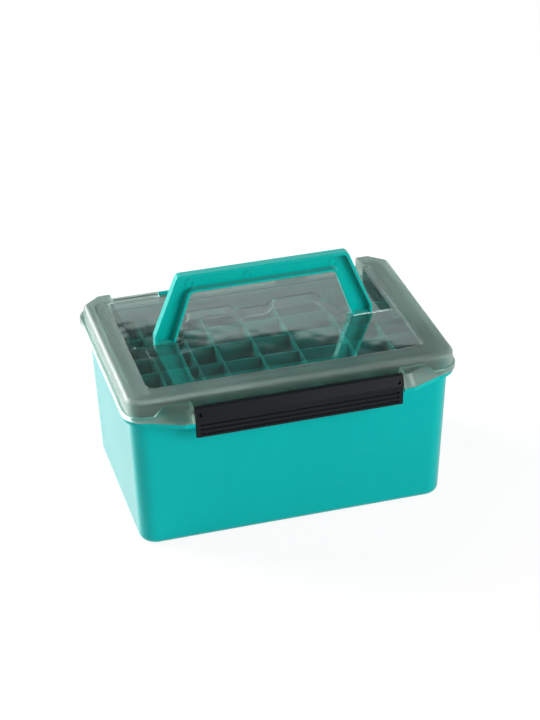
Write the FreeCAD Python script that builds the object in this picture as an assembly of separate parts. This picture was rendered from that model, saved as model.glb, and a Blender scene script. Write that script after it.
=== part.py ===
import FreeCAD, Part
import math
import os

# Lure box: a deep moulded case with an adjustable egg-crate of dividers, a smoky
# clear lid hinged at the rear, a full-width latch at the front and a bail handle
# that folds back into a pocket in the lid.
# Millimetres. X runs along the hinge, Y from front to rear, Z up. The origin is
# the centre of the case's underside, which rests on the table.

os.makedirs("parts", exist_ok=True)

# Case, turquoise
case_base_half_x = 116.5
case_base_half_y = 75.2
case_top_half_x = 120.6
case_top_half_y = 79.4
case_height = 111.5
case_corner_radius = 13.0
case_base_edge_radius = 5.0
case_wall = 2.4
case_floor = 2.8
flange_thickness = 3.3
flange_reach_x = 4.3
flange_reach_front = 5.8
flange_reach_rear = 8.8
rim_front_radius = 18.5
rim_rear_radius = 13.5
catch_reach = 3.8
catch_thickness = 4.6

# Guide ribs inside the case, which the dividers slide between
guide_rib_reach = 1.5
guide_rib_width = 1.2
slot_margin = 3.0
cross_bays = 24
long_bays = 17

# Dividers
divider_thickness = 1.5
divider_top_drop = 7.0
divider_end_gap = 0.4
divider_side_gap = 0.2
cross_divider_slots = (-8.5, -5.5, -3.5, -0.5, 2.5, 6.5, 9.5)
long_divider_slots = (-4, -1, 2, 5)

# Lid, smoky clear, one moulding
lid_gap = 0.2
lid_depth = 15.8
lid_wall = 2.4
lip_reach = 2.75
lip_height = 3.8
lip_round = 0.9
lip_overhang = 0.95
shoulder_radius = 4.6
lid_front_radius = 13.0
rear_slant_x = 13.0
rear_slant_y = 11.9
rear_slant_radius = 6.0
side_rail = 18.0
front_rail = 17.6
rear_rail = 17.3
window_step = 1.0
window_front_radius = 7.0
window_rear_radius = 2.5
panel_thickness = 2.1
skirt_gap = 2.6
skirt_thickness = 1.6
skirt_bottom_gap = 0.7
skirt_corner_radius = 9.0

# Handle pocket in the lid, with an island the handle's legs fold around
pocket_side_strip = 5.0
pocket_corner_radius = 3.0
pocket_front_gap = 0.3
pocket_floor_gap = 0.3
island_leg_gap = 2.7
island_length = 43.3
island_taper = 0.36
island_draft = 1.2
island_corner_radius = 4.0
scoop_half_mouth = 16.5
scoop_half_root = 9.5
scoop_depth = 7.4
scoop_radius = 3.0

# Handle, turquoise bail
handle_pivot_y = 1.0
handle_depth = 8.0
handle_reach = 56.9
handle_foot_half_x = 84.3
handle_top_half_x = 65.3
handle_foot_straight = 9.3
handle_knee_radius = 3.0
handle_foot_width = 14.4
handle_grip_height = 14.6
handle_opening_top_half_x = 55.3
handle_outer_radius = 4.2
handle_inner_radius = 4.5
handle_flange = 1.9
handle_web = 1.9
handle_edge_round = 0.8
handle_mark_radius = 3.2
handle_mark_line = 0.7
handle_mark_height = 0.35
handle_mark_sink = 0.2
handle_middle_mark_x = -10.7
handle_corner_mark_x = 55.2
handle_mark_rise = 5.1
handle_foot_mark_rise = 0.6
handle_stub_radius = 2.4
handle_stub_length = 6.4
handle_side_gap = 0.3
stub_sink = 0.5
boss_wall = 1.5
boss_length = 5.8

# Latch, black
latch_half_x = 77.2
latch_axis_reach = 7.5
latch_axis_drop = 9.0
latch_top_drop = 5.1
latch_ridge_rise = 2.3
latch_bottom_drop = 13.4
latch_top_reach = 2.8
latch_brow_reach = 6.1
latch_ridge_reach = 4.1
latch_bottom_reach = 3.6
latch_step = 0.8
latch_plate = 2.2
latch_shelf = 2.0
latch_edge_round = 0.7
latch_fine_round = 0.3
latch_barrel_radius = 3.8
latch_groove_count = 3
latch_groove_drop = 5.5
latch_groove_pitch = 3.7
latch_groove_height = 1.4
latch_groove_depth = 1.0
latch_groove_margin = 3.6
latch_pit_depth = 1.6
latch_notch_width = 2.4
latch_notch_height = 3.4
latch_notch_depth = 3.0
latch_notch_rise = 1.6
latch_notch_margin = 2.4
latch_corner_radius = 1.2
latch_bead_height = 1.8
latch_bead_root = 0.6
latch_catch_gap = 0.3
latch_stub_radius = 1.6
latch_end_gap = 0.9
stub_end_gap = 0.3

# Ears of the lid at both ends of the latch
ear_cheek = 2.0
ear_shell = 1.8
ear_reach = 9.65
ear_front_width = 7.6
ear_root_width = 30.5
ear_brow_drop = 6.3
ear_brow_reach = 8.2
ear_brow_front_width = 5.9
ear_brow_root_width = 20.9
ear_top_drop = 5.1
ear_top_reach = 4.0
ear_top_root_width = 19.5
ear_bend_radius = 12.0
ear_brow_bend_radius = 7.0
ear_flange_radius = 1.5
ear_root_overlap = 0.5
cheek_reach = 10.25
cheek_top_reach = 9.1
cheek_proud = 0.6
cheek_radius = 2.5

# Hinge at the rear
hinge_axis_reach = 4.5
hinge_axis_rise = 3.8
knuckle_radius = 3.6
hinge_pin_radius = 1.4
running_gap = 0.05
knuckle_gap = 0.4
centre_knuckle_half = 32.6
case_knuckle_end = 60.2
hinge_end_inset = 3.0
knuckle_wall_gap = 0.6
pin_end_inset = 1.0

# Worked out from the driving dimensions
cross_slot_pitch = 2 * (case_top_half_x - slot_margin) / cross_bays
long_slot_pitch = 2 * (case_top_half_y - slot_margin) / long_bays
flange_half_x = case_top_half_x + flange_reach_x
flange_front = case_top_half_y + flange_reach_front
flange_rear = case_top_half_y + flange_reach_rear
lip_half_x = flange_half_x + lip_overhang
lip_front = flange_front + lip_overhang
lip_rear = flange_rear + lip_overhang
wall_half_x = lip_half_x - lip_reach
wall_front = lip_front - lip_reach
wall_rear = lip_rear - lip_reach
lid_bottom = case_height + lid_gap
lid_top = lid_bottom + lid_depth
window_top = lid_top - window_step
window_half_x = wall_half_x - side_rail
window_front = wall_front - front_rail
window_rear = wall_rear - rear_rail
handle_pivot_z = window_top - handle_depth / 2
pocket_floor = handle_pivot_z - handle_depth / 2 - pocket_floor_gap
pocket_front_y = handle_pivot_y - handle_depth / 2 - pocket_front_gap
pocket_half_x = window_half_x - pocket_side_strip
island_rear_y = pocket_front_y + island_length
ceiling = window_top - panel_thickness
pocket_underside = pocket_floor - panel_thickness
handle_opening_foot_half_x = handle_foot_half_x - handle_foot_width
handle_top_z = handle_pivot_z + handle_reach
grip_bottom_z = handle_top_z - handle_grip_height
leg_lean = (handle_opening_foot_half_x - handle_opening_top_half_x) / (grip_bottom_z - handle_pivot_z)
recess_floor_y = handle_pivot_y + handle_depth / 2 - handle_web
island_front_half_x = handle_opening_foot_half_x - island_leg_gap
divider_top = case_height - divider_top_drop
half_lap_z = (case_floor + divider_top) / 2
latch_axis_y = -(wall_front + latch_axis_reach)
latch_axis_z = lid_top - latch_axis_drop
latch_top_z = lid_top - latch_top_drop
latch_ridge_z = lid_bottom + latch_ridge_rise
latch_bottom_z = case_height - latch_bottom_drop
latch_brow_z = latch_ridge_z + latch_step
latch_top_front_y = latch_axis_y - latch_top_reach
latch_brow_front_y = latch_axis_y - latch_brow_reach
latch_ridge_front_y = latch_axis_y - latch_ridge_reach
latch_bottom_front_y = latch_axis_y - latch_bottom_reach
cheek_inner_x = latch_half_x + latch_end_gap
cheek_outer_x = cheek_inner_x + ear_cheek
cheek_front_y = -(lip_front + cheek_reach)
ear_front_y = -(lip_front + ear_reach)
ear_corner_x = cheek_inner_x + ear_front_width
ear_root_x = cheek_inner_x + ear_root_width
ear_top_z = lid_top - ear_top_drop
hinge_axis_y = wall_rear + hinge_axis_reach
hinge_axis_z = lid_bottom + hinge_axis_rise
hinge_half = pocket_half_x - hinge_end_inset
catch_front_y = -(flange_front + catch_reach)
flange_bottom = case_height - flange_thickness

# Cuts run this far past the faces they open
past = 5.0

# Two heights closer than this are the same height
touch = 0.01


def vector(x, y, z):
    return FreeCAD.Vector(x, y, z)


def box(x0, x1, y0, y1, z0, z1):
    return Part.makeBox(x1 - x0, y1 - y0, z1 - z0, vector(x0, y0, z0))


def along_x(radius, x0, x1, y, z):
    return Part.makeCylinder(radius, x1 - x0, vector(x0, y, z), vector(1, 0, 0))


def along_y(radius, x, y0, y1, z):
    return Part.makeCylinder(radius, y1 - y0, vector(x, y0, z), vector(0, 1, 0))


def plan_at(z):
    return lambda point: vector(point.x, point.y, z)


def front_at(y):
    return lambda point: vector(point.x, y, point.y)


def side_at(x):
    return lambda point: vector(x, point.x, point.y)


def rounded_wire(corners, place):
    """A closed wire through corners given as (first, second, radius)."""
    points = [vector(first, second, 0) for first, second, _ in corners]
    count = len(points)
    rounds = []
    for index in range(count):
        corner = points[index]
        radius = corners[index][2]
        back = (points[index - 1] - corner).normalize()
        ahead = (points[(index + 1) % count] - corner).normalize()
        half_angle = back.getAngle(ahead) / 2
        setback = radius / math.tan(half_angle)
        inward = (back + ahead).normalize()
        middle = corner + inward * (radius / math.sin(half_angle) - radius)
        rounds.append((corner + back * setback, middle, corner + ahead * setback))
    edges = []
    for index in range(count):
        start, middle, finish = rounds[index]
        following = rounds[(index + 1) % count][0]
        if corners[index][2] > 0:
            edges.append(Part.Arc(place(start), place(middle), place(finish)).toShape())
        edges.append(Part.LineSegment(place(finish), place(following)).toShape())
    return Part.Wire(edges)


def prism(corners, place, travel):
    return Part.Face(rounded_wire(corners, place)).extrude(travel)


def plate(corners, z0, z1):
    return prism(corners, plan_at(z0), vector(0, 0, z1 - z0))


def rectangle(half_x, half_y, radius):
    signs = [(-1, -1), (1, -1), (1, 1), (-1, 1)]
    return [(sign_x * half_x, sign_y * half_y, radius) for sign_x, sign_y in signs]


def tapered_block(half_x0, half_y0, z0, half_x1, half_y1, z1, radius):
    lower = rounded_wire(rectangle(half_x0, half_y0, radius), plan_at(z0))
    upper = rounded_wire(rectangle(half_x1, half_y1, radius), plan_at(z1))
    return Part.makeLoft([lower, upper], True, True)


def mirrored(shape):
    return shape.mirror(vector(0, 0, 0), vector(1, 0, 0))


def both_sides(shape):
    return shape.fuse(mirrored(shape))


def edges_in_plane(shape, z):
    return [
        edge
        for edge in shape.Edges
        if abs(edge.BoundBox.ZMin - z) < touch and abs(edge.BoundBox.ZMax - z) < touch
    ]


def rim_plan(half_x, front, rear):
    """The outline shared by the case's flange and the lid's lip."""
    return [
        (-half_x, -front, rim_front_radius),
        (half_x, -front, rim_front_radius),
        (half_x, rear, rim_rear_radius),
        (-half_x, rear, rim_rear_radius),
    ]


def lid_wall_plan(inset):
    """The lid's wall in plan: rounded in front, with slanted corners behind."""
    half_x = wall_half_x - inset
    front = wall_front - inset
    rear = wall_rear - inset
    front_radius = lid_front_radius - inset
    slant_x = rear_slant_x - inset / 2
    slant_y = rear_slant_y - inset / 2
    return [
        (-half_x, -front, front_radius),
        (half_x, -front, front_radius),
        (half_x, rear - slant_y, rear_slant_radius),
        (half_x - slant_x, rear, rear_slant_radius),
        (slant_x - half_x, rear, rear_slant_radius),
        (-half_x, rear - slant_y, rear_slant_radius),
    ]


# Case


def wall_half(base_half, top_half, z):
    return base_half + (top_half - base_half) * z / case_height


def case_cavity(shrink, bottom, top):
    """The space inside the walls, drawn in all round by shrink."""
    inset = case_wall + shrink
    return tapered_block(
        wall_half(case_base_half_x, case_top_half_x, bottom) - inset,
        wall_half(case_base_half_y, case_top_half_y, bottom) - inset,
        bottom,
        wall_half(case_base_half_x, case_top_half_x, top) - inset,
        wall_half(case_base_half_y, case_top_half_y, top) - inset,
        top,
        case_corner_radius - inset,
    )


def ear_flange():
    """The bulge of the case's flange under one ear of the lid."""
    root_y = -(flange_front - case_wall)
    corners = [
        (cheek_inner_x, root_y, 0),
        (cheek_inner_x, ear_front_y, 0),
        (ear_corner_x, ear_front_y, ear_flange_radius),
        (ear_root_x, -flange_front, 0),
        (ear_root_x, root_y, 0),
    ]
    return plate(corners, flange_bottom, case_height)


def divider_positions(slots, pitch):
    return [slot * pitch for slot in slots]


def guide_slots(pitch, half_room, phase):
    """Slot centres at the pitch, both ways from the middle, as far as the wall has room."""
    count = int((half_room - phase * pitch) / pitch)
    centres = [(index + phase) * pitch for index in range(count + 1)]
    return sorted(set(centres + [-centre for centre in centres]))


def rib_spans(centres):
    """Where the ribs beside each slot begin and end along their wall, in order."""
    half_gap = divider_thickness / 2 + divider_side_gap
    spans = []
    for centre in centres:
        spans.append((centre - half_gap - guide_rib_width, centre - half_gap))
        spans.append((centre + half_gap, centre + half_gap + guide_rib_width))
    return spans


def ribbed_outline(z):
    """The inside of the walls in plan, notched by pairs of upright guide ribs."""
    half_x = wall_half(case_base_half_x, case_top_half_x, z) - case_wall
    half_y = wall_half(case_base_half_y, case_top_half_y, z) - case_wall
    radius = case_corner_radius - case_wall
    rib_x = half_x - guide_rib_reach
    rib_y = half_y - guide_rib_reach
    rib_room = case_corner_radius + guide_rib_width
    room_x = min(case_base_half_x, case_top_half_x) - rib_room
    room_y = min(case_base_half_y, case_top_half_y) - rib_room
    cross_spans = rib_spans(guide_slots(cross_slot_pitch, room_x, 0.5))
    long_spans = rib_spans(guide_slots(long_slot_pitch, room_y, 0.0))
    corners = [(-half_x, -half_y, radius)]
    for start, end in cross_spans:
        corners += [(start, -half_y, 0), (start, -rib_y, 0), (end, -rib_y, 0), (end, -half_y, 0)]
    corners.append((half_x, -half_y, radius))
    for start, end in long_spans:
        corners += [(half_x, start, 0), (rib_x, start, 0), (rib_x, end, 0), (half_x, end, 0)]
    corners.append((half_x, half_y, radius))
    for start, end in reversed(cross_spans):
        corners += [(end, half_y, 0), (end, rib_y, 0), (start, rib_y, 0), (start, half_y, 0)]
    corners.append((-half_x, half_y, radius))
    for start, end in reversed(long_spans):
        corners += [(-half_x, end, 0), (-rib_x, end, 0), (-rib_x, start, 0), (-half_x, start, 0)]
    return rounded_wire(corners, plan_at(z))


def ribbed_cavity():
    """The space inside the case up to the top of the guide ribs."""
    return Part.makeLoft([ribbed_outline(case_floor), ribbed_outline(divider_top)], True, True)


def case():
    outside = tapered_block(
        case_base_half_x,
        case_base_half_y,
        0,
        case_top_half_x,
        case_top_half_y,
        case_height,
        case_corner_radius,
    )
    outside = outside.makeFillet(case_base_edge_radius, edges_in_plane(outside, 0))
    flange = plate(
        rim_plan(flange_half_x, flange_front, flange_rear),
        flange_bottom,
        case_height,
    )
    ears = both_sides(ear_flange())
    rail = box(
        -cheek_inner_x,
        cheek_inner_x,
        catch_front_y,
        -case_top_half_y,
        case_height - catch_thickness,
        case_height,
    )
    knuckle = case_knuckle()
    body = outside.fuse([flange, ears, rail, knuckle, mirrored(knuckle)])
    return body.cut(case_cavity(0, divider_top, case_height + past)).cut(ribbed_cavity())


def case_knuckle():
    """One turquoise hinge knuckle on its arm, on the +X side."""
    x0 = centre_knuckle_half + knuckle_gap
    x1 = case_knuckle_end
    arm_front = hinge_axis_y - knuckle_radius + knuckle_wall_gap
    barrel = along_x(knuckle_radius, x0, x1, hinge_axis_y, hinge_axis_z)
    arm = box(x0, x1, arm_front, hinge_axis_y + knuckle_radius, flange_bottom, hinge_axis_z)
    root = box(x0, x1, flange_rear - case_wall, hinge_axis_y, flange_bottom, case_height)
    return barrel.fuse([arm, root]).cut(pin_bore())


# Dividers


def divider_room():
    return case_cavity(divider_end_gap, case_floor, divider_top)


def crossing(centre_x, centre_y, z0, z1):
    half = divider_thickness / 2 + divider_side_gap
    return box(centre_x - half, centre_x + half, centre_y - half, centre_y + half, z0, z1)


def cross_divider(x):
    """A divider from front to rear, slotted from below over the long dividers."""
    half = divider_thickness / 2
    sheet = box(x - half, x + half, -case_top_half_y, case_top_half_y, case_floor, divider_top)
    sheet = sheet.common(divider_room())
    top = half_lap_z + divider_side_gap
    for y in divider_positions(long_divider_slots, long_slot_pitch):
        sheet = sheet.cut(crossing(x, y, case_floor - past, top))
    return sheet


def long_divider(y):
    """A divider along the box, slotted from above for the cross dividers."""
    half = divider_thickness / 2
    sheet = box(-case_top_half_x, case_top_half_x, y - half, y + half, case_floor, divider_top)
    sheet = sheet.common(divider_room())
    for x in divider_positions(cross_divider_slots, cross_slot_pitch):
        sheet = sheet.cut(crossing(x, y, half_lap_z, divider_top + past))
    return sheet


# Lid


def pocket_block(grow, z0, z1):
    """The handle pocket, open to the rear, grown sideways for the walls round it."""
    half_x = pocket_half_x + grow
    front = pocket_front_y - grow
    rear = wall_rear + past
    radius = pocket_corner_radius + grow
    corners = [
        (-half_x, front, radius),
        (half_x, front, radius),
        (half_x, rear, 0),
        (-half_x, rear, 0),
    ]
    return plate(corners, z0, z1)


def island_outline(shrink, z):
    """The raised island between the legs, with the finger scoop in its rear edge."""
    front_half = island_front_half_x - shrink
    rear_half = island_half_x_at(island_rear_y) - shrink
    front = pocket_front_y - 2 * panel_thickness
    rear = island_rear_y - shrink
    mouth = scoop_half_mouth + shrink
    root = scoop_half_root + shrink
    radius = island_corner_radius
    return rounded_wire(
        [
            (-front_half, front, 0),
            (front_half, front, 0),
            (front_half, pocket_front_y, 0),
            (rear_half, rear, radius),
            (mouth, rear, scoop_radius),
            (root, rear - scoop_depth, scoop_radius),
            (-root, rear - scoop_depth, scoop_radius),
            (-mouth, rear, scoop_radius),
            (-rear_half, rear, radius),
            (-front_half, pocket_front_y, 0),
        ],
        plan_at(z),
    )


def island_block(shrink, z0, z1):
    lower = island_outline(shrink - island_draft, z0)
    upper = island_outline(shrink, z1)
    return Part.makeLoft([lower, upper], True, True)


def lid_shell():
    """The lid's outer form with its window and pocket, hollowed from below."""
    shell = plate(lid_wall_plan(0), lid_bottom, lid_top)
    shell = shell.makeFillet(shoulder_radius, edges_in_plane(shell, lid_top))
    lip_top = lid_bottom + lip_height
    lip = plate(rim_plan(lip_half_x, lip_front, lip_rear), lid_bottom, lip_top)
    shell = shell.fuse(lip.makeFillet(lip_round, edges_in_plane(lip, lip_top)))
    window = plate(
        [
            (-window_half_x, -window_front, window_front_radius),
            (window_half_x, -window_front, window_front_radius),
            (window_half_x, window_rear, window_rear_radius),
            (-window_half_x, window_rear, window_rear_radius),
        ],
        window_top,
        lid_top + past,
    )
    pocket = pocket_block(0, pocket_floor, lid_top + past)
    pocket = pocket.cut(island_block(0, pocket_floor, window_top))
    hollow = plate(lid_wall_plan(lid_wall), lid_bottom - past, ceiling)
    hollow = hollow.cut(pocket_block(panel_thickness, pocket_underside, lid_top))
    island_room = island_block(panel_thickness, pocket_underside, ceiling)
    return shell.cut(window).cut(pocket).cut(hollow).cut(island_room)


def skirt():
    """The rib under the lid that drops inside the case's mouth."""
    half_x = case_top_half_x - case_wall - skirt_gap
    half_y = case_top_half_y - case_wall - skirt_gap
    bottom = divider_top + skirt_bottom_gap
    top = window_top - panel_thickness / 2
    ring = plate(rectangle(half_x, half_y, skirt_corner_radius), bottom, top)
    inner = rectangle(
        half_x - skirt_thickness,
        half_y - skirt_thickness,
        skirt_corner_radius - skirt_thickness,
    )
    ring = ring.cut(plate(inner, bottom - past, top + past))
    return ring.cut(pocket_block(0, pocket_floor - panel_thickness / 2, lid_top + past))


def ear_level(inset, z, front_width, root_width, root_y, front_y, bend_radius):
    """One level outline of an ear, drawn in by inset where it shows."""
    back = -(wall_front - lid_wall)
    root_x = cheek_inner_x + root_width - inset
    corners = [
        (cheek_inner_x + inset, back, 0),
        (cheek_inner_x + inset, front_y + inset, 0),
        (cheek_inner_x + front_width - inset / 2, front_y + inset, bend_radius - inset),
        (root_x, min(root_y + inset, back - ear_root_overlap), 0),
        (root_x, back, 0),
    ]
    return rounded_wire(corners, plan_at(z))


def ear_solid(inset, bottom):
    """One ear beside the latch: a bulge of the rim that slopes up to the shoulder."""
    foot = ear_level(
        inset,
        bottom,
        ear_front_width,
        ear_root_width,
        -lip_front,
        ear_front_y,
        ear_bend_radius,
    )
    brow = ear_level(
        inset,
        lid_top - ear_brow_drop - inset,
        ear_brow_front_width,
        ear_brow_root_width,
        -wall_front,
        -(wall_front + ear_brow_reach),
        ear_brow_bend_radius,
    )
    top = ear_level(
        inset,
        ear_top_z - inset,
        ear_brow_front_width,
        ear_top_root_width,
        -wall_front,
        -(wall_front + ear_top_reach),
        ear_bend_radius,
    )
    lower = Part.makeLoft([foot, brow], True, True)
    upper = Part.makeLoft([brow, top], True, True)
    return lower.fuse(upper)


def ear_cheek_plate():
    """The upright plate at the ear's inner end, which carries the latch's stub."""
    back = -(wall_front - lid_wall)
    corners = [
        (back, lid_bottom, 0),
        (back, ear_top_z + cheek_proud, 0),
        (-(wall_front + cheek_top_reach), ear_top_z, cheek_radius),
        (cheek_front_y, lid_bottom, 0),
    ]
    return prism(corners, side_at(cheek_inner_x), vector(ear_cheek, 0, 0))


def ear():
    solid = ear_solid(0, lid_bottom).cut(ear_solid(ear_shell, lid_bottom - ear_shell))
    return solid.fuse(ear_cheek_plate())


def lid_knuckle(x0, x1):
    """One smoky hinge knuckle on its arm."""
    barrel = along_x(knuckle_radius, x0, x1, hinge_axis_y, hinge_axis_z)
    arm_bottom = hinge_axis_z - knuckle_radius / 2
    arm_top = hinge_axis_z + knuckle_radius
    arm = box(x0, x1, wall_rear - lid_wall / 2, hinge_axis_y, arm_bottom, arm_top)
    return barrel.fuse(arm.cut(box(x0, x1, 0, wall_rear, pocket_floor, lid_top)))


def latch_room():
    """The gap in the rim that the latch hangs through."""
    top = lid_bottom + lip_height + past
    return box(-cheek_inner_x, cheek_inner_x, ear_front_y - past, -wall_front, 0, top)


def knuckle_room():
    half = hinge_half + knuckle_gap
    return box(-half, half, wall_rear, hinge_axis_y, 0, lid_top)


def handle_sleeve():
    """The boss beside the island that one of the handle's stubs turns in."""
    radius = handle_stub_radius + boss_wall
    outer_x = handle_opening_foot_half_x - handle_side_gap - radius * leg_lean
    return along_x(radius, outer_x - boss_length, outer_x, handle_pivot_y, handle_pivot_z)


def handle_socket():
    outer_x = handle_opening_foot_half_x
    radius = handle_stub_radius + running_gap
    return along_x(radius, outer_x - boss_length - past, outer_x, handle_pivot_y, handle_pivot_z)


def latch_socket():
    radius = latch_stub_radius + running_gap
    return along_x(radius, cheek_inner_x - past, cheek_outer_x, latch_axis_y, latch_axis_z)


def pin_bore():
    half = hinge_half + past
    return along_x(hinge_pin_radius + running_gap, -half, half, hinge_axis_y, hinge_axis_z)


def lid():
    body = lid_shell().fuse(skirt())
    body = body.cut(latch_room()).cut(knuckle_room())
    outer_knuckle = lid_knuckle(case_knuckle_end + knuckle_gap, hinge_half)
    centre_knuckle = lid_knuckle(-centre_knuckle_half, centre_knuckle_half)
    body = body.fuse(
        [
            both_sides(ear()),
            both_sides(handle_sleeve()),
            outer_knuckle,
            mirrored(outer_knuckle),
            centre_knuckle,
        ]
    )
    body = body.cut(both_sides(latch_socket())).cut(pin_bore())
    return body.cut(both_sides(handle_socket())).removeSplitter()


def island_half_x_at(y):
    return island_front_half_x - (y - pocket_front_y) * island_taper


# Handle


def handle_outline(inset):
    """The bail's outer and inner edges in front view, as one closed outline."""
    foot = handle_foot_half_x - inset
    top = handle_top_half_x - inset
    knee_z = handle_pivot_z + handle_foot_straight
    crown_z = handle_top_z - inset
    opening_foot = handle_opening_foot_half_x + inset
    opening_top = handle_opening_top_half_x + inset
    lintel_z = grip_bottom_z + inset
    base_z = handle_pivot_z
    outer_radius = handle_outer_radius - inset / 2
    inner_radius = handle_inner_radius + inset / 2
    return [
        (-foot, base_z, 0),
        (-foot, knee_z, handle_knee_radius),
        (-top, crown_z, outer_radius),
        (top, crown_z, outer_radius),
        (foot, knee_z, handle_knee_radius),
        (foot, base_z, 0),
        (opening_foot, base_z, 0),
        (opening_top, lintel_z, inner_radius),
        (-opening_top, lintel_z, inner_radius),
        (-opening_foot, base_z, 0),
    ]


def handle():
    """A bail of channel section, open to the front, with two stubs as its pivots."""
    front = handle_pivot_y - handle_depth / 2
    bar = prism(handle_outline(0), front_at(front), vector(0, handle_depth, 0))
    rims = [
        edge
        for edge in bar.Edges
        if edge.BoundBox.YLength < touch and edge.BoundBox.ZMax > handle_pivot_z + touch
    ]
    bar = bar.makeFillet(handle_edge_round, rims)
    foot = along_x(
        handle_depth / 2,
        handle_opening_foot_half_x,
        handle_foot_half_x,
        handle_pivot_y,
        handle_pivot_z,
    )
    foot = foot.cut(box(0, wall_half_x, -wall_front, wall_front, handle_pivot_z, handle_top_z))
    bar = bar.fuse([foot, mirrored(foot)])
    recess_travel = vector(0, recess_floor_y - front + past, 0)
    recess = prism(handle_outline(handle_flange), front_at(front - past), recess_travel)
    below_window = box(-wall_half_x, wall_half_x, -wall_front, wall_front, 0, window_top)
    bar = bar.cut(recess.cut(below_window))
    for x, z in mark_places():
        bar = bar.fuse(handle_mark(x, z))
    stub_start = handle_opening_foot_half_x - handle_stub_length
    stub_end = handle_opening_foot_half_x + stub_sink
    stub = along_x(handle_stub_radius, stub_start, stub_end, handle_pivot_y, handle_pivot_z)
    return bar.fuse([stub, mirrored(stub)]).removeSplitter()


def handle_mark(x, z):
    """A thin raised ring on the web, left by the mould."""
    front = recess_floor_y - handle_mark_height
    disc = along_y(handle_mark_radius, x, front, recess_floor_y + handle_mark_sink, z)
    middle = handle_mark_radius - handle_mark_line
    return disc.cut(along_y(middle, x, front - past, recess_floor_y, z))


def mark_places():
    """Rings at the upper corners, near the grip's middle and just above the feet."""
    grip_z = grip_bottom_z + handle_mark_rise
    foot_x = handle_foot_half_x - handle_foot_width / 2
    foot_z = window_top + handle_foot_mark_rise
    return [
        (-handle_corner_mark_x, grip_z),
        (handle_corner_mark_x, grip_z),
        (handle_middle_mark_x, grip_z),
        (-foot_x, foot_z),
        (foot_x, foot_z),
    ]


# Latch


def latch_profile():
    """The bar's section: a brow that leans out over the plate of the grip."""
    back_top = latch_axis_y + latch_barrel_radius
    return [
        (latch_top_front_y, latch_top_z, latch_edge_round),
        (latch_brow_front_y, latch_brow_z, latch_fine_round),
        (latch_ridge_front_y, latch_ridge_z, 0),
        (latch_bottom_front_y, latch_bottom_z, latch_edge_round),
        (latch_bottom_front_y + latch_plate, latch_bottom_z, latch_edge_round),
        (latch_ridge_front_y + latch_plate, latch_ridge_z, 0),
        (back_top, latch_ridge_z + latch_shelf, 0),
        (back_top, latch_axis_z, 0),
        (latch_axis_y, latch_axis_z + latch_barrel_radius, 0),
    ]


def latch_bead():
    """The hooked bead along the back of the grip, under the case's catch rail."""
    root = latch_bottom_front_y + latch_plate - latch_bead_root
    top = case_height - catch_thickness - latch_catch_gap
    corners = [
        (root, top - latch_bead_height, 0),
        (root, top, 0),
        (catch_front_y - latch_catch_gap, top, 0),
    ]
    reach = latch_half_x - latch_groove_margin
    return prism(corners, side_at(-reach), vector(2 * reach, 0, 0))


def latch():
    """A full-width bar: a smooth brow above a ribbed grip, with a bead at the back."""
    half = latch_half_x
    bar = prism(latch_profile(), side_at(-half), vector(2 * half, 0, 0))
    barrel = along_x(latch_barrel_radius, -half, half, latch_axis_y, latch_axis_z)
    bar = bar.fuse([barrel, latch_bead()])
    first_groove_z = latch_ridge_z - latch_groove_drop
    for index in range(latch_groove_count):
        groove_z = first_groove_z - index * latch_groove_pitch
        bar = bar.cut(latch_groove(groove_z)).cut(both_sides(latch_pit(groove_z)))
    bar = bar.cut(both_sides(latch_end_notch()))
    bar = bar.cut(both_sides(latch_corner_cut()))
    stub_start = half - stub_sink
    stub_end = cheek_outer_x - stub_end_gap
    stub = along_x(latch_stub_radius, stub_start, stub_end, latch_axis_y, latch_axis_z)
    return bar.fuse([stub, mirrored(stub)]).removeSplitter()


def latch_front_y(z):
    """The ribbed band's front face at a height."""
    share = (z - latch_bottom_z) / (latch_ridge_z - latch_bottom_z)
    return latch_bottom_front_y + (latch_ridge_front_y - latch_bottom_front_y) * share


def latch_groove(z):
    face = latch_front_y(z)
    half_height = latch_groove_height / 2
    corners = [
        (face - past, z - half_height, 0),
        (face - past, z + half_height, 0),
        (face + latch_groove_depth, z + half_height, latch_fine_round),
        (face + latch_groove_depth, z - half_height, latch_fine_round),
    ]
    reach = latch_half_x - latch_groove_margin
    return prism(corners, side_at(-reach), vector(2 * reach, 0, 0))


def latch_pit(z):
    """The deeper round end of a groove."""
    face = latch_front_y(z)
    x = latch_half_x - latch_groove_margin
    return along_y(latch_groove_height / 2, x, face - past, face + latch_pit_depth, z)


def latch_end_notch():
    """The small three-cornered dimple near the brow's end."""
    x1 = latch_half_x - latch_notch_margin
    z0 = latch_brow_z + latch_notch_rise
    z1 = z0 + latch_notch_height
    corners = [(x1 - latch_notch_width, z0, 0), (x1, z0, 0), (x1, z1, 0)]
    depth = past + latch_notch_depth
    return prism(corners, front_at(latch_brow_front_y - past), vector(0, depth, 0))


def latch_corner_cut():
    """Takes off the square lower corner of the bar, leaving it round."""
    radius = latch_corner_radius
    centre_x = latch_half_x - radius
    centre_z = latch_bottom_z + radius
    front = latch_bottom_front_y - past
    rear = latch_axis_y + past
    square = box(
        centre_x,
        latch_half_x + past,
        front,
        rear,
        latch_bottom_z - past,
        centre_z,
    )
    return square.cut(along_y(radius, centre_x, front, rear, centre_z))


# Hinge pin


def hinge_pin():
    half = hinge_half - pin_end_inset
    return along_x(hinge_pin_radius, -half, half, hinge_axis_y, hinge_axis_z)


# The nodes


def write(node, shape):
    shape.exportStep("parts/" + node + ".step")


write("case", case())
write("lid", lid())
write("handle", handle())
write("front_latch", latch())
write("hinge_pin", hinge_pin())
for number, place_x in enumerate(divider_positions(cross_divider_slots, cross_slot_pitch), 1):
    write("cross_divider_" + str(number), cross_divider(place_x))
for number, place_y in enumerate(divider_positions(long_divider_slots, long_slot_pitch), 1):
    write("long_divider_" + str(number), long_divider(place_y))
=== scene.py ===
import math

import bpy
from mathutils import Matrix

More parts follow.
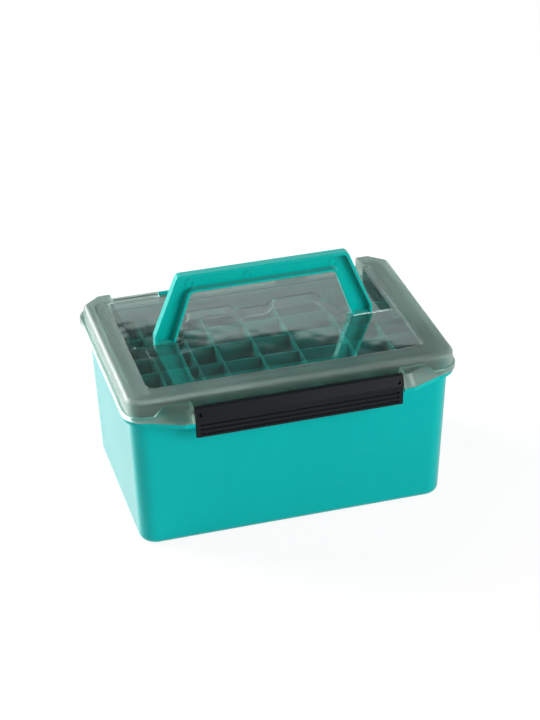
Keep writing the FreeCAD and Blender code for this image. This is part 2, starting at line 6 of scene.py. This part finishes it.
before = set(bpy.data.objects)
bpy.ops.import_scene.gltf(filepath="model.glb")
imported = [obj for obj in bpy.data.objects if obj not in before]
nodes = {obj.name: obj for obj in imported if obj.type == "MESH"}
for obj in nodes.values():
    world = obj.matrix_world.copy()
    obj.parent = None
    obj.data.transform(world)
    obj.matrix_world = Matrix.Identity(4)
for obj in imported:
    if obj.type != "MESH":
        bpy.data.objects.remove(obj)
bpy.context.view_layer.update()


# The camera: a long lens about 1.6 metres from the box, in front of it and a little
# to its left, looking down on it by 30 degrees, as the photograph was taken.
camera_place = (-0.359, -1.311, 0.879)
camera_yaw = math.radians(15.475)
camera_pitch = math.radians(29.916)
camera_roll = math.radians(-1.236)
bpy.ops.object.camera_add(location=camera_place)
camera = bpy.context.object
camera.name = "view_camera"
camera.data.lens = 103.8
camera.data.sensor_width = 36.0
turned = (
    Matrix.Rotation(-camera_yaw, 3, "Z")
    @ Matrix.Rotation(math.pi / 2 - camera_pitch, 3, "X")
    @ Matrix.Rotation(camera_roll, 3, "Z")
)
camera.rotation_euler = turned.to_euler()
bpy.context.scene.camera = camera
bpy.context.scene.view_settings.view_transform = "Standard"


# The floor: a pale seamless sheet of paper. It shows as white to the camera and in
# gloss, and still takes the box's soft shadow.
def add_node(tree, kind, **settings):
    node = tree.nodes.new(kind)
    for name, value in settings.items():
        setattr(node, name, value)
    return node


def feed(tree, source, socket):
    """Sets a number or a colour on a socket, or wires another node's output to it."""
    if isinstance(source, (int, float)):
        socket.default_value = source
    elif isinstance(source, tuple):
        socket.default_value = (*source, 1)
    else:
        tree.links.new(source, socket)


def calculate(tree, operation, first, second=None, clamp=False):
    node = add_node(tree, "ShaderNodeMath", operation=operation, use_clamp=clamp)
    feed(tree, first, node.inputs[0])
    if second is not None:
        feed(tree, second, node.inputs[1])
    return node.outputs[0]


def mixed_shader(tree, share, first, second):
    node = add_node(tree, "ShaderNodeMixShader")
    for socket, source in zip(node.inputs, (share, first, second)):
        feed(tree, source, socket)
    return node.outputs[0]


def new_material(name):
    material = bpy.data.materials.new(name)
    material.use_nodes = True
    material.node_tree.nodes.clear()
    return material, material.node_tree


def show(tree, shader, kind="ShaderNodeOutputMaterial"):
    """Wires a shader to the surface of its material, or of the world."""
    feed(tree, shader, add_node(tree, kind).inputs["Surface"])


def paper(tree, shade):
    """Matt paper of one shade of grey."""
    node = add_node(tree, "ShaderNodeBsdfDiffuse")
    feed(tree, (shade, shade, shade), node.inputs["Color"])
    return node.outputs[0]


def mirrored_or_through(tree, path):
    """1 for what a gloss mirrors or a clear plastic shows, and 0 for light."""
    gloss = path.outputs["Is Glossy Ray"]
    return calculate(tree, "ADD", gloss, path.outputs["Is Transmission Ray"], clamp=True)


floor_size = 12.0
floor_shade = 0.80
seen_shade = 0.20
seen_glow = 0.86
bpy.ops.mesh.primitive_plane_add(size=floor_size, location=(0, 0, 0))
floor = bpy.context.object
floor.name = "studio_floor"
floor_material, tree = new_material("studio_floor")
glow = add_node(tree, "ShaderNodeEmission")
feed(tree, seen_glow, glow.inputs["Strength"])
white_floor = add_node(tree, "ShaderNodeAddShader")
feed(tree, paper(tree, seen_shade), white_floor.inputs[0])
feed(tree, glow.outputs[0], white_floor.inputs[1])
path = add_node(tree, "ShaderNodeLightPath")
camera_ray = path.outputs["Is Camera Ray"]
seen = calculate(tree, "ADD", camera_ray, mirrored_or_through(tree, path), clamp=True)
show(tree, mixed_shader(tree, seen, paper(tree, floor_shade), white_floor.outputs[0]))
floor.data.materials.append(floor_material)


# The studio round it: an even pale light. Clear plastic mirrors a white backdrop up
# to about 28 degrees above the floor, and the dark of the room above it. The room
# in front, behind the camera, is dimmer, and the backdrop dims a little to the right.
def graded(tree, value, start, end, at_start, at_end, smooth=False):
    """Runs from at_start to at_end as the value goes from start to end."""
    kind = "SMOOTHSTEP" if smooth else "LINEAR"
    node = add_node(tree, "ShaderNodeMapRange", interpolation_type=kind)
    feed(tree, value, node.inputs["Value"])
    feed(tree, start, node.inputs["From Min"])
    feed(tree, end, node.inputs["From Max"])
    feed(tree, at_start, node.inputs["To Min"])
    feed(tree, at_end, node.inputs["To Max"])
    return node.outputs[0]


def room_light(tree, strength):
    node = add_node(tree, "ShaderNodeBackground")
    feed(tree, strength, node.inputs["Strength"])
    return node.outputs[0]


backdrop_top = 0.4740
backdrop_lean = 0.06
backdrop_blur = 0.0015
backdrop_white = 1.0
dark_room = 0.03
front_dim = 0.5
right_dim = 0.72
even_light = 0.40
world = bpy.data.worlds.new("studio")
bpy.context.scene.world = world
world.use_nodes = True
tree = world.node_tree
tree.nodes.clear()
direction = add_node(tree, "ShaderNodeTexCoord")
split = add_node(tree, "ShaderNodeSeparateXYZ")
feed(tree, direction.outputs["Generated"], split.inputs[0])
edge_height = calculate(tree, "MULTIPLY", split.outputs["X"], backdrop_lean)
above_edge = calculate(tree, "SUBTRACT", split.outputs["Z"], edge_height)
backdrop = graded(
    tree,
    above_edge,
    start=backdrop_top - backdrop_blur,
    end=backdrop_top + backdrop_blur,
    at_start=backdrop_white,
    at_end=dark_room,
    smooth=True,
)
front_room = graded(
    tree, split.outputs["Y"], start=-0.5, end=0.1, at_start=front_dim, at_end=1.0, smooth=True
)
left_glow = graded(
    tree, split.outputs["X"], start=0.12, end=0.36, at_start=1.0, at_end=right_dim, smooth=True
)
mirrored_light = calculate(tree, "MULTIPLY", backdrop, front_room)
mirrored_light = calculate(tree, "MULTIPLY", mirrored_light, left_glow)
path = add_node(tree, "ShaderNodeLightPath")
room = mixed_shader(
    tree,
    mirrored_or_through(tree, path),
    room_light(tree, even_light),
    room_light(tree, mirrored_light),
)
white_behind = room_light(tree, backdrop_white)
behind = mixed_shader(tree, path.outputs["Is Camera Ray"], room, white_behind)
show(tree, behind, "ShaderNodeOutputWorld")


# Two soft lamps of the same size: the key low in front to the right, and a soft box
# behind to the left, which brightens the left side and the rear edges.
lamps_aim_z = 0.06


def soft_lamp(name, toward, distance, size, watts):
    """A square lamp that faces the box from the direction given."""
    reach = math.sqrt(sum(part * part for part in toward))
    place = [part / reach * distance for part in toward]
    bpy.ops.object.light_add(type="AREA", location=place)
    lamp = bpy.context.object
    lamp.name = name
    lamp.data.shape = "SQUARE"
    lamp.data.size = size
    lamp.data.energy = watts
    facing = lamp.location.copy()
    facing.z -= lamps_aim_z
    lamp.rotation_euler = facing.to_track_quat("Z", "Y").to_euler()


soft_lamp("key_lamp", toward=(0.60, -0.76, 0.36), distance=1.6, size=0.9, watts=17.0)
soft_lamp("left_soft_box", toward=(-0.70, 0.62, 0.38), distance=1.4, size=0.9, watts=30.0)


# The case: a deep box of satin turquoise polypropylene, injection moulded in one
# piece, with fine mould grain, faint flow lines down its walls and a few light scuffs.
def new_group(name, inputs, outputs):
    """A shader node group with the named numbers in and out."""
    group = bpy.data.node_groups.new(name, "ShaderNodeTree")
    for socket_name, value in inputs:
        socket = group.interface.new_socket(
            socket_name, in_out="INPUT", socket_type="NodeSocketFloat"
        )
        socket.default_value = value
    for socket_name in outputs:
        group.interface.new_socket(
            socket_name, in_out="OUTPUT", socket_type="NodeSocketFloat"
        )
    start = add_node(group, "NodeGroupInput")
    finish = add_node(group, "NodeGroupOutput")
    return group, start, finish


def noise(tree, place, scale, detail=2.0):
    node = add_node(tree, "ShaderNodeTexNoise")
    feed(tree, place, node.inputs["Vector"])
    feed(tree, scale, node.inputs["Scale"])
    feed(tree, detail, node.inputs["Detail"])
    feed(tree, 0.5, node.inputs["Roughness"])
    return node.outputs["Fac"]


def stretched(tree, x=1.0, y=1.0, z=1.0):
    """Object coordinates, stretched so that a pattern runs along one way."""
    place = add_node(tree, "ShaderNodeTexCoord")
    mapping = add_node(tree, "ShaderNodeMapping")
    feed(tree, place.outputs["Object"], mapping.inputs["Vector"])
    mapping.inputs["Scale"].default_value = (x, y, z)
    return mapping.outputs[0]


# Mould grain: the fine spark-eroded texture of the tool, with a slow waviness.
mould_grain, start, finish = new_group(
    "mould_grain",
    [("Grain Scale", 1800.0), ("Grain Depth", 0.5), ("Wave Scale", 14.0), ("Wave Depth", 0.2)],
    ["Height", "Mottle"],
)
plain_place = stretched(mould_grain)
grain = noise(mould_grain, plain_place, start.outputs["Grain Scale"], detail=1.0)
wave = noise(mould_grain, plain_place, start.outputs["Wave Scale"])
deep_grain = calculate(mould_grain, "MULTIPLY", grain, start.outputs["Grain Depth"])
deep_wave = calculate(mould_grain, "MULTIPLY", wave, start.outputs["Wave Depth"])
height = calculate(mould_grain, "ADD", deep_grain, deep_wave)
feed(mould_grain, height, finish.inputs["Height"])
feed(mould_grain, wave, finish.inputs["Mottle"])

# Scuffs: thin broken hairlines from handling, most of the surface left clean.
scuffs, start, finish = new_group("scuffs", [("Scale", 30.0), ("Amount", 0.5)], ["Mask"])


def hairlines(pattern):
    """Only the crests of a noise pattern, as thin lines."""
    return graded(scuffs, pattern, start=0.66, end=0.70, at_start=0.0, at_end=1.0)


scale = start.outputs["Scale"]
across = hairlines(noise(scuffs, stretched(scuffs, y=9.0, z=6.0), scale, detail=3.0))
along = hairlines(noise(scuffs, stretched(scuffs, x=8.0, z=2.0), scale, detail=3.0))
patch_noise = noise(scuffs, stretched(scuffs), scale=11.0)
patches = graded(scuffs, patch_noise, start=0.52, end=0.68, at_start=0.0, at_end=1.0)
lines = calculate(scuffs, "MAXIMUM", across, along)
marks = calculate(scuffs, "MULTIPLY", lines, patches)
mask = calculate(scuffs, "MULTIPLY", marks, start.outputs["Amount"])
feed(scuffs, mask, finish.inputs["Mask"])


def use_group(tree, group, **values):
    node = add_node(tree, "ShaderNodeGroup", node_tree=group)
    for name, value in values.items():
        node.inputs[name.replace("_", " ").title()].default_value = value
    return node.outputs


def mixed_colour(tree, share, first, second):
    """A mix of two colours, which are the last two sockets of a Mix node for colour."""
    node = add_node(tree, "ShaderNodeMix", data_type="RGBA")
    feed(tree, share, node.inputs["Factor"])
    feed(tree, first, node.inputs[6])
    feed(tree, second, node.inputs[7])
    return node.outputs[2]


def principled(tree, **values):
    node = add_node(tree, "ShaderNodeBsdfPrincipled")
    for name, value in values.items():
        feed(tree, value, node.inputs[name.replace("_", " ")])
    return node


def bump(tree, height, strength, distance):
    node = add_node(tree, "ShaderNodeBump")
    feed(tree, strength, node.inputs["Strength"])
    feed(tree, distance, node.inputs["Distance"])
    feed(tree, height, node.inputs["Height"])
    return node.outputs["Normal"]


def varied_roughness(tree, pattern, low, high):
    """Roughness that drifts between two values as a noise pattern does."""
    return graded(tree, pattern, start=0.3, end=0.7, at_start=low, at_end=high)


def moulded_plastic(name, colour, deep, rough, grain_scale, sheen, ior):
    """Opaque satin plastic with mould grain, flow lines and scuffs."""
    mottle_share = 0.6
    most_flow = 0.25
    scuff_paleness = 0.35
    scuff_roughness = 0.12
    material, tree = new_material(name)
    grain = use_group(tree, mould_grain, grain_scale=grain_scale, grain_depth=0.5)
    scuff = use_group(tree, scuffs, scale=34.0, amount=0.08)["Mask"]
    flow = noise(tree, stretched(tree, z=0.02), scale=230.0)
    mottle = graded(tree, grain["Mottle"], start=0.3, end=0.7, at_start=0.0, at_end=1.0)
    flow_share = graded(tree, flow, start=0.35, end=0.75, at_start=0.0, at_end=most_flow)
    mottled = calculate(tree, "MULTIPLY", mottle, mottle_share)
    tone = calculate(tree, "ADD", mottled, flow_share, clamp=True)
    body = mixed_colour(tree, tone, colour, deep)
    pale = tuple(min(1.0, part * 0.6 + 0.35) for part in colour)
    paled = calculate(tree, "MULTIPLY", scuff, scuff_paleness)
    surface = principled(tree, IOR=ior, Sheen_Weight=sheen, Sheen_Roughness=0.35)
    feed(tree, mixed_colour(tree, paled, body, pale), surface.inputs["Base Color"])
    satin = varied_roughness(tree, grain["Mottle"], low=rough - 0.04, high=rough + 0.05)
    roughened = calculate(tree, "MULTIPLY", scuff, scuff_roughness)
    feed(tree, calculate(tree, "ADD", satin, roughened), surface.inputs["Roughness"])
    texture = bump(tree, grain["Height"], strength=0.35, distance=0.0002)
    feed(tree, texture, surface.inputs["Normal"])
    show(tree, surface.outputs[0])
    return material


def dress(node_name, material):
    slots = nodes[node_name].data.materials
    slots.clear()
    slots.append(material)


case_turquoise = moulded_plastic(
    "case_turquoise",
    colour=(0.0, 0.455, 0.435),
    deep=(0.0, 0.425, 0.41),
    rough=0.32,
    grain_scale=1600.0,
    sheen=1.0,
    ior=1.12,
)
dress("case", case_turquoise)


# The dividers: eleven thin strips of the same polypropylene that slide into the
# case's guide ribs and are slotted into each other.
divider_green = moulded_plastic(
    "divider_green",
    colour=(0.0, 0.46, 0.42),
    deep=(0.0, 0.42, 0.385),
    rough=0.42,
    grain_scale=2200.0,
    sheen=0.15,
    ior=1.2,
)
for name in nodes:
    if "divider" in name:
        dress(name, divider_green)


# The lid: one moulding of smoky clear plastic. Its frame, ears and hinge knuckles
# are frosted by the tool's texture, and the window and handle pocket are polished.
window_half_x = 0.1051
window_front = -0.0658
window_rear = 0.0691
pocket_half_x = 0.1001
pocket_front = -0.0034
pocket_rear = 0.0835
frame_step_z = 0.1271
panel_low_z = 0.1155
polished_area, start, finish = new_group("polished_area", [], ["Mask"])


def both(first, second):
    """1 where two masks are both 1."""
    return calculate(polished_area, "MULTIPLY", first, second)


def below(value, limit):
    return calculate(polished_area, "LESS_THAN", value, limit)


def between(value, low, high):
    return both(calculate(polished_area, "GREATER_THAN", value, low), below(value, high))


where = add_node(polished_area, "ShaderNodeTexCoord")
spot = add_node(polished_area, "ShaderNodeSeparateXYZ")
feed(polished_area, where.outputs["Object"], spot.inputs[0])
side = calculate(polished_area, "ABSOLUTE", spot.outputs["X"])
depth = spot.outputs["Y"]
window = both(below(side, window_half_x), between(depth, window_front, window_rear))
pocket = both(below(side, pocket_half_x), between(depth, pocket_front, pocket_rear))
either = calculate(polished_area, "MAXIMUM", window, pocket)
panel_height = between(spot.outputs["Z"], panel_low_z, frame_step_z)
feed(polished_area, both(either, panel_height), finish.inputs["Mask"])

smoky_lid, tree = new_material("smoky_lid")
frost = principled(
    tree, IOR=1.44, Metallic=0.0, Base_Color=(0.43, 0.54, 0.50), Transmission_Weight=0.95
)
frost_grain = use_group(tree, mould_grain, grain_scale=1400.0, grain_depth=0.8)
frost_rough = varied_roughness(tree, frost_grain["Mottle"], low=0.31, high=0.37)
feed(tree, frost_rough, frost.inputs["Roughness"])
frost_texture = bump(tree, frost_grain["Height"], strength=0.3, distance=0.0002)
feed(tree, frost_texture, frost.inputs["Normal"])
clear = principled(
    tree,
    IOR=2.4,
    Metallic=0.0,
    Base_Color=(0.43, 0.53, 0.52),
    Transmission_Weight=0.97,
    Specular_Tint=(0.84, 1.0, 0.95),
)
clear_wave = use_group(
    tree, mould_grain, grain_scale=300.0, grain_depth=0.0, wave_scale=22.0, wave_depth=1.0
)
clear_scuffs = use_group(tree, scuffs, scale=40.0, amount=1.0)["Mask"]
polish = graded(tree, clear_scuffs, start=0.0, end=1.0, at_start=0.02, at_end=0.25)
feed(tree, polish, clear.inputs["Roughness"])
feed(tree, bump(tree, clear_wave["Height"], strength=0.10, distance=0.001), clear.inputs["Normal"])
polished = use_group(tree, polished_area)["Mask"]
two_finishes = mixed_shader(tree, polished, frost.outputs[0], clear.outputs[0])
lamp_light = add_node(tree, "ShaderNodeBsdfTransparent")
feed(tree, (0.74, 0.79, 0.76), lamp_light.inputs["Color"])
shadow_ray = add_node(tree, "ShaderNodeLightPath").outputs["Is Shadow Ray"]
show(tree, mixed_shader(tree, shadow_ray, two_finishes, lamp_light.outputs[0]))
dress("lid", smoky_lid)


# The handle: a stiff bail of turquoise plastic, a channel open to the front, with a
# brighter gloss than the case. It snaps into two bosses beside the lid's island.
handle_turquoise = moulded_plastic(
    "handle_turquoise",
    colour=(0.0, 0.49, 0.44),
    deep=(0.0, 0.45, 0.405),
    rough=0.26,
    grain_scale=2200.0,
    sheen=0.4,
    ior=1.2,
)
dress("handle", handle_turquoise)


# The latch: a full-width bar of black plastic, speckled by the tool's texture on its
# smooth brow and ribbed below, where the fingers pull it.
latch_black, tree = new_material("latch_black")
speckle = use_group(tree, mould_grain, grain_scale=900.0, grain_depth=1.0)
latch_scuffs = use_group(tree, scuffs, scale=40.0, amount=0.15)["Mask"]
surface = principled(tree, IOR=1.22)
tone = mixed_colour(tree, speckle["Mottle"], (0.005, 0.007, 0.009), (0.009, 0.011, 0.014))
rubbed = calculate(tree, "MULTIPLY", latch_scuffs, 0.3)
worn = mixed_colour(tree, rubbed, tone, (0.12, 0.12, 0.13))
feed(tree, worn, surface.inputs["Base Color"])
latch_rough = varied_roughness(tree, speckle["Mottle"], low=0.33, high=0.41)
feed(tree, latch_rough, surface.inputs["Roughness"])
feed(tree, bump(tree, speckle["Height"], strength=0.6, distance=0.0003), surface.inputs["Normal"])
show(tree, surface.outputs[0])
dress("front_latch", latch_black)


# The hinge pin: a drawn steel wire pushed through the knuckles at the rear. Its fine
# drawing marks run along it.
pin_steel, tree = new_material("pin_steel")
drawn = noise(tree, stretched(tree, x=0.05), scale=2400.0)
surface = principled(tree, Metallic=1.0)
steel = mixed_colour(tree, drawn, (0.50, 0.50, 0.49), (0.62, 0.62, 0.61))
feed(tree, steel, surface.inputs["Base Color"])
feed(tree, varied_roughness(tree, drawn, low=0.22, high=0.36), surface.inputs["Roughness"])
show(tree, surface.outputs[0])
dress("hinge_pin", pin_steel)
